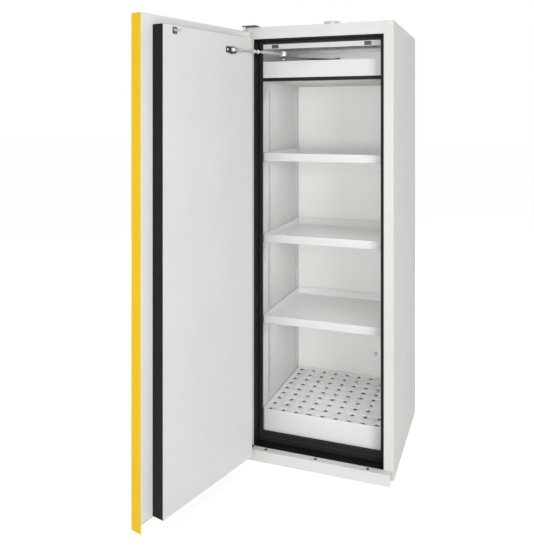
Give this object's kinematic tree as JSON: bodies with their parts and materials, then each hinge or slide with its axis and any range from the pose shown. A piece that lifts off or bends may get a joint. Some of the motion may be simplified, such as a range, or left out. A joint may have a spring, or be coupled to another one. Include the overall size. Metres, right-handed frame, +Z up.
{
  "type": "flammable liquid storage cabinet",
  "caption": "Upright fire-rated storage cabinet with a hinged insulated door, tray shelves, a collecting sump with perforated insert and a roof exhaust spigot.",
  "frame": {"origin": "centre of the body's footprint, on the underside of the base plate, at floor level", "axes": "+Z up, +Y to the back of the cabinet, +X to the right seen from the front; the door hangs on the left and stands open at rest"},
  "size_m": [0.7858, 1.2241, 1.795],
  "materials": {
    "body_paint": "satin powder coat",
    "inside_paint": "smooth white coat",
    "inside_board": "smooth white melamine face",
    "base_board": "dark fire board",
    "door_yellow": "fine textured yellow powder coat",
    "frame_black": "black profile",
    "board": "raw fire board",
    "zinc": "zinc plated",
    "dark_steel": "dark coated steel",
    "handle_plastic": "dark grained plastic"
  },
  "bodies": {
    "cabinet": {"side_panel_left": "body_paint", "side_panel_right": "body_paint", "back_panel": "body_paint", "roof_panel": "body_paint", "floor_pan": "body_paint", "plinth_strip": "body_paint", "liner_left": "inside_board", "liner_right": "inside_board", "liner_back": "inside_board", "liner_ceiling": "inside_board", "liner_floor": "inside_board", "base_plate": "base_board", "header_rail": "inside_paint", "duct_floor": "inside_paint", "fascia_board": "inside_paint", "exhaust_valve": "inside_paint", "shelf_tray_lower": "inside_paint", "shelf_tray_middle": "inside_paint", "shelf_tray_upper": "inside_paint", "sump_tray": "inside_paint", "perforated_insert": "inside_paint", "frame_profile_left": "frame_black", "frame_profile_right": "frame_black", "frame_profile_top": "frame_black", "frame_profile_bottom": "frame_black", "rebate_seal": "frame_black", "catch_pocket_left": "frame_black", "catch_pocket_right": "frame_black", "fascia_seal": "frame_black", "insulation_left": "board", "insulation_right": "board", "insulation_back": "board", "insulation_top": "board", "insulation_bottom": "board", "exhaust_spigot": "zinc", "shelf_standard_left_front": "zinc", "shelf_standard_left_rear": "zinc", "shelf_standard_right_front": "zinc", "shelf_standard_right_rear": "zinc", "earthing_stud": "zinc", "plinth_screw_left": "dark_steel", "plinth_screw_middle": "dark_steel", "plinth_screw_right": "dark_steel", "hinge_bracket_top": "dark_steel", "hinge_bracket_bottom": "dark_steel", "closer_body": "dark_steel"},
    "door": {"door_outer_skin": "door_yellow", "door_inner_skin": "body_paint", "door_insulation": "board", "plug_edge": "frame_black", "plug_insulation": "board", "plug_cover": "body_paint", "handle_plate": "handle_plastic", "closer_bracket": "dark_steel"},
    "closer_arm": {"closer_arm": "dark_steel"},
    "closer_forearm": {"closer_forearm": "zinc"},
    "handle": {"handle_lever": "handle_plastic"},
    "catch": {"door_catch": "zinc"},
    "lock": {"lock_cylinder": "zinc"}
  },
  "joints": [
    {"name": "door_hinge", "type": "hinge", "parent": "cabinet", "child": "door", "pos_m": [-0.2925, -0.3375, 0.9], "axis": [0, 0, 1], "range_deg": [-5.5, 104.5]},
    {"name": "closer_arm_spindle", "type": "hinge", "parent": "cabinet", "child": "closer_arm", "pos_m": [0.05, -0.1675, 1.609], "axis": [0, 0, 1], "range_deg": [-83.2, 4.4]},
    {"name": "closer_forearm_pin", "type": "hinge", "parent": "door", "child": "closer_forearm", "pos_m": [-0.25624, -0.5328, 1.6251], "axis": [0, 0, 1], "range_deg": [-73.9, 3.9]},
    {"name": "handle_turn", "type": "hinge", "parent": "door", "child": "handle", "pos_m": [-0.4538, -0.85097, 0.97], "axis": [-0.9681, 0.2504, 0], "range_deg": [0, 40], "stiffness_Nm_per_rad": 2, "springref_deg": -8.59},
    {"name": "catch_slide", "type": "slide", "parent": "door", "child": "catch", "axis": [0, 0, -1], "range_m": [0, 0.003]},
    {"name": "lock_turn", "type": "hinge", "parent": "door", "child": "lock", "pos_m": [-0.44799, -0.85247, 0.91], "axis": [-0.9681, 0.2504, 0], "range_deg": [0, 90]}
  ],
  "couplings": [
    {"joint": "closer_arm_spindle", "follows": "door_hinge", "ratio": -0.7956},
    {"joint": "closer_forearm_pin", "follows": "door_hinge", "ratio": -0.707},
    {"joint": "catch_slide", "follows": "handle_turn", "m_per_rad": 0.00429}
  ]
}
